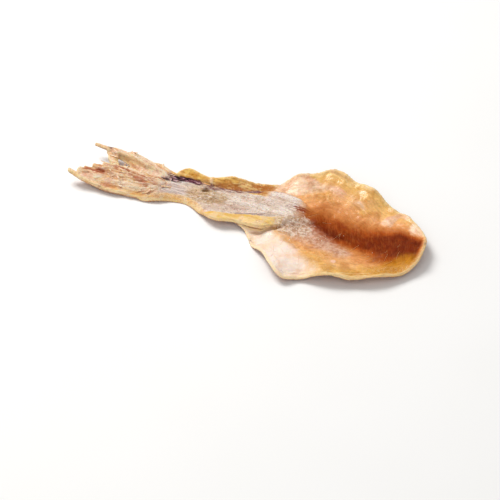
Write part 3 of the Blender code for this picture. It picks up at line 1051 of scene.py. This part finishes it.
    def limbs(self):
        """The arms: cream and golden, with rosy mottling, red strips and one bruise."""
        limb = self.mottled(self.broad_streaks, 0.36, 0.64, (255, 230, 198), (240, 192, 132))
        limb = self.lay(limb, (238, 188, 104), self.blotches, 0.5, 0.64, 0.7)
        limb = self.lay(limb, (240, 186, 158), self.mottling, 0.52, 0.64, 0.5)
        limb = self.lay(limb, (254, 236, 214), self.curls, 0.5, 0.66, 0.5)
        limb = self.mix(self.hairlines * 0.55, limb, (190, 116, 74))
        limb = self.mix(self.long_hairs * 0.6, limb, (255, 240, 224))
        strips = self.ramp(self.curls + self.groove * 0.2, 0.38, 0.54)
        strips = strips * self.edged("reddish", 0.9, 0.15, 0.6)
        limb = self.mix(strips * 0.75, limb, (182, 90, 50))
        return self.mix(self.edged("bruise", 0.9, 0.2, 0.7) * 0.9, limb, (108, 46, 64))

    def near_flesh(self):
        """The golden flesh along the near side of the arms and the neck."""
        flesh = self.mottled(self.mottling, 0.4, 0.6, (246, 188, 98), (254, 222, 174))
        flesh = self.lay(flesh, (253, 228, 192), self.streaks, 0.5, 0.64, 0.7)
        return self.mix(self.hairlines * 0.7, flesh, (196, 130, 72))

    def surface(self, colour):
        """Beads on the grainy spot, fine specks, painted shade in the grooves, painted highlight on the
        crests and a pale outer edge, partly the thin flesh's own paler colour and partly painted
        highlight.
        """
        beads = self.mottled(self.flecks, 0.44, 0.56, (182, 146, 120), (234, 214, 196))
        colour = self.mix(self.edged("grainy", 0.7) * 0.7, colour, beads)
        specks = self.ramp(self.speckle, 0.6, 0.72) * self.ramp(self.deepness_and_shade, 0.7, 0.4, 0.0, 0.25)
        colour = self.mix(specks, colour, (248, 232, 214))
        # Painted shade in the grooves and painted highlight on the crests
        colour = self.mix(self.groove * 0.55, colour, (204, 132, 84), "MULTIPLY")
        colour = self.mix(self.marked("crest") * 0.5, colour, (253, 240, 218))
        # The pale outer edge, partly painted highlight
        edge = self.marked("lip") * self.top * self.ramp(self.blotches, 0.3, 0.55, 0.4, 1.0)
        edge = edge * (1 - self.marked("tail") * 0.5)
        return self.mix(edge * 0.65, colour, (250, 222, 168))

    def underside(self, colour):
        """The duller, speckled underside."""
        under = self.mottled(self.blotches, 0.4, 0.62, (206, 160, 130), (180, 120, 78))
        under = self.lay(under, (120, 76, 70), self.speckle, 0.54, 0.64, 0.5)
        return self.mix(1 - self.top, colour, under)

    def lines(self, colour):
        """The rolled rim, the painted shade under the fold, the dark purple line by the collar and the
        torn slit, both partly painted shade, and the grey line.
        """
        colour = self.mix(self.edged("rolled", 0.4) * 0.55, colour, (248, 214, 156))
        # Painted shade under the fold's lip
        colour = self.mix(self.edged("under_lip", 0.7) * 0.55, colour, (166, 112, 46))
        # The dark purple line by the collar, partly painted shade
        ink = self.edged("ink", 1.5, 0.2, 0.8)
        ink = ink * self.ramp(self.blotches + (self.lashes - 0.5) * 1.2, 0.32, 0.52)
        colour = self.mix(ink * 0.9, colour, (116, 66, 70))
        grey_line = self.edged("grey_line", 1.2, 0.15, 0.7) * self.ramp(self.clouds, 0.34, 0.48)
        colour = self.mix(grey_line * 0.7, colour, (146, 114, 110))
        # The torn slit's dark red-brown: partly the dark flesh inside it, partly painted shade in the
        # crevice
        slit = self.edged("slit", 0.9) * self.ramp(self.lashes + (self.curls - 0.5) * 0.5, 0.4, 0.54)
        return self.mix(slit * 0.9, colour, (136, 56, 24))

    def eye_and_pit(self, colour):
        """The dried eye, black between torn mauve strips whose pale pink-grey parts are painted
        highlights, and the brown pit behind it.
        """
        eye = self.edged("eye", 0.7)
        # Mauve strips, their pale pink-grey parts painted highlights
        strips = self.mottled(self.lashes, 0.54, 0.64, (116, 64, 80), (208, 172, 172))
        black = self.ramp(self.lashes + (self.blotches - 0.5) * 0.4, 0.54, 0.48)
        pit = self.mottled(self.flecks, 0.42, 0.58, (74, 44, 14), (128, 88, 40))
        colour = self.mix(eye * 0.9, colour, strips)
        colour = self.mix(eye * black * 0.97, colour, (24, 16, 18))
        return self.mix(self.edged("pit", 0.7, 0.1, 0.7), colour, pit)

    def grain(self):
        """How high the finest grain stands: streaks and curls in the fleshy parts, crinkles all over."""
        fleshy = self.marked("band") + self.marked("arms")
        fine_grain = (self.curls + self.speckle) * (fleshy * 0.2 + 0.1)
        return self.streaks * (fleshy * 0.55 + 0.04) + fine_grain + self.crinkles * 0.08


def flesh_material():
    """The flesh's colours, from the plain mantle to the marks on top, with its shine and grain."""
    flesh = FleshRecipe()
    colour = flesh.texture(flesh.far_side(flesh.amber()))
    colour = flesh.waxy_corner(flesh.bloom(colour))
    colour = flesh.mix(flesh.edged("collar", 0.2), colour, flesh.collar())
    colour = flesh.mix(flesh.edged("band", 0.3), colour, flesh.neck())
    colour = flesh.mix(flesh.edged("fold", 0.25), colour, flesh.fold())
    colour = flesh.mix(flesh.edged("arms", 0.5), colour, flesh.limbs())
    colour = flesh.mix(flesh.edged("near_side", 0.5) * 0.8, colour, flesh.near_flesh())
    colour = flesh.underside(flesh.surface(colour))
    colour = flesh.eye_and_pit(flesh.lines(colour))

    chalky = flesh.edged("dusty", 0.6) + flesh.edged("grainy", 0.7) + flesh.edged("band", 0.3) * 0.7
    chalky = flesh.ramp(chalky, 0.0, 1.2)
    roughness = 0.46 + chalky * 0.25 + (flesh.blotches - 0.5) * 0.5
    wet = flesh.ramp(flesh.mottling, 0.48, 0.6) * (0.6 - chalky * 0.5 - flesh.deepness_and_shade * 0.7)
    bump_inputs = {"Strength": 0.9, "Distance": 0.0011, "Height": flesh.grain()}
    return flesh.finish({
        "Base Color": colour,
        "Roughness": roughness,
        "Normal": flesh.node("ShaderNodeBump", {}, bump_inputs),
        "Coat Weight": wet,
        "Coat Roughness": 0.16,
        "Subsurface Weight": 0.2,
        "Subsurface Radius": (1.0, 0.45, 0.18),
        "Subsurface Scale": 0.0012,
        "Specular IOR Level": 0.04,
    })


def dry_skin_material(name, first, second, roughness):
    """Pale dried skin, mottled between two colours."""
    skin = Recipe(name)
    mottle = skin.noise(skin.place(), 600.0, 4.0, 0.6)
    bump_inputs = {"Strength": 0.5, "Distance": 0.0003, "Height": mottle}
    return skin.finish({
        "Base Color": skin.mottled(mottle, 0.35, 0.65, first, second),
        "Roughness": roughness,
        "Normal": skin.node("ShaderNodeBump", {}, bump_inputs),
        "Subsurface Weight": 0.3,
        "Subsurface Radius": (1.0, 0.6, 0.35),
        "Subsurface Scale": 0.0008,
    })


class Surface:
    """The top of the finished flesh, on which loose pieces lie."""

    ABOVE = 60.0

    def __init__(self, flesh):
        self.tree = BVHTree.FromObject(flesh, bpy.context.evaluated_depsgraph_get())

    def under(self, x, y):
        """The place and normal of the flesh at a spot in the body's own millimetres, if any."""
        start = Vector((x - SHIFT[0], y - SHIFT[1], self.ABOVE)) * MM
        place, normal, _, _ = self.tree.ray_cast(start, Vector((0, 0, -1)))
        return place, normal


def join_copies(master, name, placements):
    """Copies a modelled piece to each placement, a 4 x 4 matrix, and joins the copies in one."""
    copies = []
    for matrix in placements:
        copy = master.copy()
        copy.data = master.data.copy()
        copy.data.transform(matrix)
        bpy.context.scene.collection.objects.link(copy)
        copies.append(copy)
    bpy.data.objects.remove(master)
    deselect()
    for copy in copies:
        copy.select_set(True)
    bpy.context.view_layer.objects.active = copies[0]
    bpy.ops.object.join()
    joined = bpy.context.object
    joined.name = name
    return joined


def finish_loose(piece, material):
    """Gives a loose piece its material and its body."""
    piece.data.materials.clear()
    piece.data.materials.append(material)
    piece.data.shade_smooth()
    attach(piece, "root")


def laid_on(place, normal, turn, scale, sink):
    """The matrix that lays a piece modelled flat on the ground on the surface at a place."""
    frame_of_place = normal.to_track_quat("Z", "Y").to_matrix().to_4x4()
    spin = Matrix.Rotation(turn, 4, "Z")
    size = Matrix.Diagonal((*scale, 1.0))
    return Matrix.Translation(place - normal * sink) @ frame_of_place @ spin @ size


def add_grains(surface):
    """Whitish grains dried onto the patch where the neck ends, and a few along the bloom."""
    chance = random.Random(GRAIN_SEED)
    deselect()
    bpy.ops.mesh.primitive_ico_sphere_add(subdivisions=1, radius=1.0)
    grain = bpy.context.object
    bpy.ops.object.mode_set(mode="EDIT")
    bpy.ops.transform.vertex_random(offset=GRAIN_ROUGHNESS, seed=GRAIN_SHAPE_SEED)
    bpy.ops.object.mode_set(mode="OBJECT")
    placements = []
    while len(placements) < GRAIN_COUNT:
        x, y, spread_x, spread_y = chance.choice(GRAIN_PATCHES)
        x, y = chance.gauss(x, spread_x), chance.gauss(y, spread_y)
        place, normal = surface.under(x, y)
        if place is None:
            continue
        radius = chance.uniform(*GRAIN_RADII) * MM
        breadth, flatness = chance.uniform(*GRAIN_BREADTHS), chance.uniform(*GRAIN_FLATNESS)
        scale = (radius, radius * breadth, radius * flatness)
        turn = chance.uniform(0, 2 * math.pi)
        placements.append(laid_on(place, normal, turn, scale, GRAIN_SINK))
    grains = join_copies(grain, "dried_grains", placements)
    colours = (238, 222, 204), (214, 186, 160)
    finish_loose(grains, dry_skin_material("dried_grains", *colours, 0.5))


def fibre_points(surface, chance, spot, direction, length):
    """Points of one fibre that wanders over the flesh until it ends or leaves the body."""
    points = []
    steps = max(int(length * chance.uniform(*FIBRE_LENGTHS) / FIBRE_STEP), FEWEST_POINTS)
    bend = chance.gauss(0, FIBRE_BEND)
    for _ in range(steps):
        place, _ = surface.under(*spot)
        if place is None:
            break
        points.append(place + Vector((0, 0, FIBRE_LIFT)))
        spot += Vector((math.cos(direction), math.sin(direction))) * FIBRE_STEP
        direction += bend + chance.gauss(0, FIBRE_WOBBLE)
    return points


def add_fibres(surface):
    """Fine pale fibres lying on the flesh, thinner towards their ends."""
    chance = random.Random(FIBRE_SEED)
    curve = bpy.data.curves.new("loose_fibres", "CURVE")
    curve.dimensions = "3D"
    curve.bevel_depth = FIBRE_RADIUS
    curve.bevel_resolution = 0
    curve.use_fill_caps = True
    for x, y, heading, length, count, spread in FIBRE_TUFTS:
        for _ in range(count):
            spot = Vector((chance.gauss(x, spread), chance.gauss(y, spread)))
            direction = math.radians(heading + chance.gauss(0, FIBRE_SCATTER))
            points = fibre_points(surface, chance, spot, direction, length)
            if len(points) < FEWEST_POINTS:
                continue
            spline = curve.splines.new("POLY")
            spline.points.add(len(points) - 1)
            for index, point in enumerate(points):
                spline.points[index].co = (*point, 1.0)
                spline.points[index].radius = 1.0 - FIBRE_THINNING * index / len(points)
    fibres = bpy.data.objects.new("loose_fibres", curve)
    bpy.context.scene.collection.objects.link(fibres)
    select(fibres)
    bpy.ops.object.convert(target="MESH")
    fibres = bpy.context.object
    colours = (240, 204, 154), (222, 166, 108)
    finish_loose(fibres, dry_skin_material("loose_fibres", *colours, 0.4))


def model_shred():
    """One shred, a unit long: a narrowing, curled and cupped strip with a wall."""
    deselect()
    bpy.ops.mesh.primitive_grid_add(x_subdivisions=7, y_subdivisions=3, size=1.0)
    shred = bpy.context.object
    for vertex in shred.data.vertices:
        along, across = vertex.co.x, vertex.co.y
        narrowing = 1 - SHRED_NARROWING * (along + 0.5) ** 2
        rise = SHRED_RISE * along * along + SHRED_CUP * across * across
        vertex.co = (along, across * narrowing, rise)
    apply_modifier(shred, "SOLIDIFY", thickness=SHRED_THICKNESS, offset=0.0)
    bpy.ops.object.mode_set(mode="EDIT")
    bpy.ops.mesh.select_all(action="SELECT")
    bpy.ops.transform.vertex_random(offset=SHRED_ROUGHNESS, seed=SHRED_SHAPE_SEED)
    bpy.ops.mesh.normals_make_consistent(inside=False)
    bpy.ops.object.mode_set(mode="OBJECT")
    return shred


def add_shreds(surface):
    """Curled shreds of torn skin on the arms and round the head, pointing away from it."""
    chance = random.Random(SHRED_SEED)
    shred = model_shred()
    placements = []
    while len(placements) < SHRED_COUNT:
        x, y = chance.uniform(*SHRED_FIELD_X), chance.uniform(*SHRED_FIELD_Y)
        place, normal = surface.under(x, y)
        if place is None:
            continue
        length = chance.uniform(*SHRED_LENGTHS) * MM
        breadth, curl = chance.uniform(*SHRED_BREADTHS), chance.uniform(*SHRED_CURLS)
        scale = (length, length * breadth, length * curl)
        away = math.atan2(y - FAN_CENTRE[1], x - FAN_CENTRE[0])
        turn = away + chance.gauss(0, SHRED_SCATTER)
        placements.append(laid_on(place, normal, turn, scale, SHRED_SINK))
    shreds = join_copies(shred, "skin_shreds", placements)
    colours = (248, 222, 192), (216, 158, 116)
    finish_loose(shreds, dry_skin_material("skin_shreds", *colours, 0.45))


def floor_material():
    """Matt white card."""
    card = Recipe("white_card")
    mottle = card.noise(card.place(), 9.0, 2.0, 0.55)
    colour = card.mix(mottle, (246, 245, 243), (250, 249, 248))
    return card.finish({"Base Color": colour, "Roughness": 0.9, "Specular IOR Level": 0.1})


def add_floor():
    """The card that the piece lies on, at its lowest point."""
    deselect()
    bpy.ops.mesh.primitive_plane_add(size=FLOOR_SIZE, location=(0, 0, solid_box[0][2]))
    floor = bpy.context.object
    floor.name = "floor"
    floor.data.materials.append(floor_material())


def add_light(name, place, size, power, colour):
    """A square soft light that faces the middle of the floor."""
    deselect()
    bpy.ops.object.light_add(type="AREA", location=place)
    light = bpy.context.object
    light.name = name
    light.rotation_euler = (-Vector(place)).to_track_quat("-Z", "Y").to_euler()
    light.data.shape = "SQUARE"
    light.data.size = size
    light.data.energy = power
    light.data.color = colour


def add_lights():
    """A softly lit white room, a broad light behind on the left, and a weak one in front."""
    world = bpy.data.worlds.new("soft_room")
    world.use_nodes = True
    background = world.node_tree.nodes["Background"]
    background.inputs["Color"].default_value = (1.0, 1.0, 1.0, 1.0)
    background.inputs["Strength"].default_value = ROOM_STRENGTH
    bpy.context.scene.world = world
    for lamp in LAMPS:
        add_light(*lamp)


def add_camera():
    """The camera at the photograph's angle, far off with a long lens."""
    azimuth, elevation = math.radians(VIEW_AZIMUTH), math.radians(VIEW_ELEVATION)
    aim = Vector((np.array(VIEW_CENTRE) - SHIFT) * MM)
    back = Vector((
        math.sin(azimuth) * math.cos(elevation),
        -math.cos(azimuth) * math.cos(elevation),
        math.sin(elevation),
    ))
    distance = VIEW_SPAN * LENS / SENSOR
    deselect()
    bpy.ops.object.camera_add(location=aim + back * distance)
    camera = bpy.context.object
    camera.rotation_euler = (-back).to_track_quat("-Z", "Y").to_euler()
    camera.data.lens = LENS
    camera.data.sensor_width = SENSOR
    camera.data.clip_start = NEAREST_SEEN
    bpy.context.scene.camera = camera


def build():
    """The flesh, what lies loose on it, and the scene round it."""
    flesh = divided_flesh()
    wrinkle(flesh)
    flesh.data.materials.append(flesh_material())
    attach(flesh, "root")
    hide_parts(NODE)
    surface = Surface(flesh)
    add_grains(surface)
    add_fibres(surface)
    add_shreds(surface)
    add_floor()
    add_lights()
    add_camera()
    bpy.context.scene.view_settings.view_transform = "Standard"


build()
